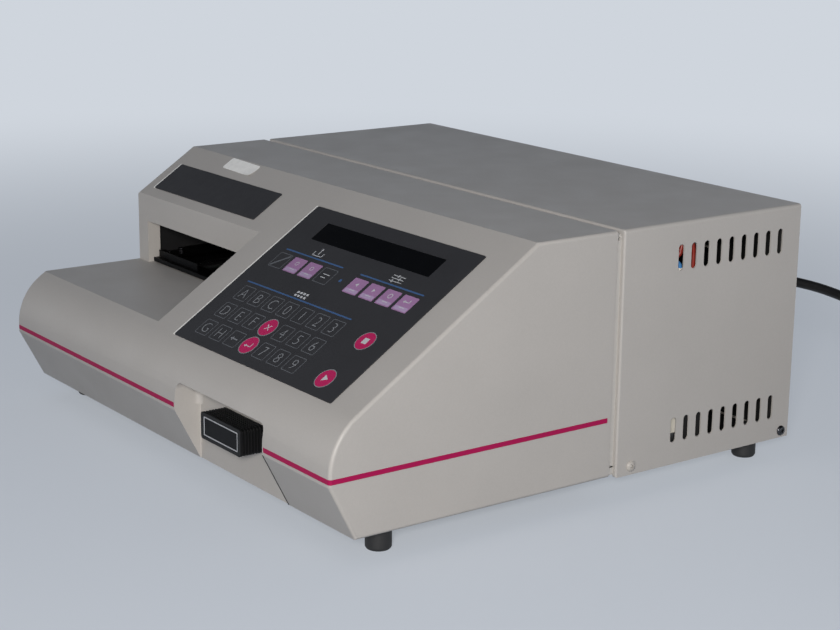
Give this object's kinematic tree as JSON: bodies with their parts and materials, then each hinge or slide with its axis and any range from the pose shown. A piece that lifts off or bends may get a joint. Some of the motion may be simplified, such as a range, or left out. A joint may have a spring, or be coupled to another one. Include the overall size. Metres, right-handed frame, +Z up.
{
  "type": "microplate reader",
  "caption": "Benchtop microplate reader with a plate carrier that slides out over a deck, a sloping keypad console, a plug-in cartridge and a vented rear cover.",
  "frame": {"origin": "on the table, under the middle of the body's box, measured without the mains cord", "axes": "+Z up, the front with the keypad faces -Y, +X to the right as the user sees it"},
  "size_m": [0.5763, 0.538, 0.173],
  "materials": {
    "housing_plastic": "moulded structural plastic, fine texture, warm pale grey",
    "frame_paint": "painted sheet steel, satin",
    "stripe_magenta": "magenta inlay strip, satin",
    "zinc_steel": "zinc-plated sheet steel",
    "feet_rubber": "black moulded rubber",
    "screw_steel": "zinc-plated steel screws and stand-offs",
    "keypad_film": "printed polyester overlay, satin charcoal",
    "window_acrylic": "smoked acrylic, polished",
    "circuit_board": "green glass-epoxy board",
    "black_moulding": "black moulded plastic",
    "label_rim": "light printed rim",
    "socket_blue": "dark blue moulded connector",
    "black_anodised": "black anodised aluminium and blackened steel",
    "clear_anodised": "clear anodised aluminium",
    "ground_steel": "ground and polished steel",
    "motor_black": "matt black enamel on motors and the light hood",
    "optical_glass": "coated optical glass",
    "filter_glass": "coated filter glass",
    "lead_red": "red insulated wire",
    "lead_blue": "blue insulated wire",
    "connector_steel": "tinned steel connector shells",
    "cord_pvc": "black PVC mains cord and its moulded ends"
  },
  "bodies": {
    "root": {"front_housing": "housing_plastic", "lower_housing": "housing_plastic", "accent_stripe": "stripe_magenta", "bulkhead_frame": "frame_paint", "rear_cover": "housing_plastic", "rear_panel": "frame_paint", "chassis_pan": "zinc_steel", "rubber_feet": "feet_rubber", "foot_screws": "screw_steel", "cover_screws": "screw_steel", "keypad_overlay": "keypad_film", "display_window": "window_acrylic", "name_plate": "keypad_film", "display_module": "circuit_board", "main_board": "circuit_board", "board_chips": "black_moulding", "board_standoffs": "screw_steel", "cartridge_guide": "black_moulding", "cartridge_socket": "socket_blue", "transport_plates": "clear_anodised", "dark_chamber": "motor_black", "guide_rods": "ground_steel", "screw_bearings": "ground_steel", "transport_motor": "motor_black", "home_sensor": "black_moulding", "optics_frame": "clear_anodised", "optics_head": "black_moulding", "head_lenses": "optical_glass", "detector_board": "circuit_board", "light_tube": "black_moulding", "filter_motor": "motor_black", "optics_bench": "zinc_steel", "lamp_housing": "zinc_steel", "halogen_lamp": "optical_glass", "power_transformer": "zinc_steel", "power_board": "circuit_board", "heat_sink": "clear_anodised", "red_lead": "lead_red", "blue_lead": "lead_blue", "power_inlet": "black_moulding", "switch_body": "black_moulding", "data_ports": "connector_steel", "cord_connector": "cord_pvc", "power_cord": "cord_pvc", "cord_coil": "cord_pvc", "mains_plug": "cord_pvc"},
    "plate_carriage": {"plate_carrier": "black_anodised", "carrier_runners": "clear_anodised", "clip_pin": "black_anodised"},
    "clip_lever": {"plate_clip": "black_anodised"},
    "drive_screw": {"lead_screw": "ground_steel"},
    "filter_disc": {"filter_wheel": "black_anodised", "filters": "filter_glass", "wheel_shaft": "ground_steel"},
    "cartridge": {"program_cartridge": "black_moulding", "cartridge_label_frame": "label_rim"},
    "rocker": {"power_rocker": "black_moulding"},
    "fuse_tray": {"fuse_drawer": "black_moulding"}
  },
  "joints": [
    {"name": "carrier_travel", "type": "slide", "parent": "root", "child": "plate_carriage", "axis": [0, -1, 0], "range_m": [-0.071, 0.095]},
    {"name": "clip_swing", "type": "hinge", "parent": "plate_carriage", "child": "clip_lever", "pos_m": [-0.1805, -0.062, 0.099], "axis": [0, 0, 1], "range_deg": [0, 10]},
    {"name": "screw_turn", "type": "hinge", "parent": "root", "child": "drive_screw", "pos_m": [-0.046, 0.016, 0.064], "axis": [0, -1, 0], "range_deg": [-1279, 1711]},
    {"name": "wheel_turn", "type": "hinge", "parent": "root", "child": "filter_disc", "pos_m": [0, 0.0064, 0.099], "axis": [1, 0, 0], "continuous": true},
    {"name": "cartridge_pull", "type": "slide", "parent": "root", "child": "cartridge", "axis": [0, -1, 0], "range_m": [0, 0.055]},
    {"name": "rocker_tilt", "type": "hinge", "parent": "root", "child": "rocker", "pos_m": [0.166, 0.173, 0.105], "axis": [1, 0, 0], "range_deg": [-18, 0]},
    {"name": "fuse_pull", "type": "slide", "parent": "root", "child": "fuse_tray", "axis": [0, 1, 0], "range_m": [0, 0.012]}
  ],
  "couplings": [
    {"joint": "screw_turn", "follows": "carrier_travel", "rad_per_m": 314.16}
  ]
}
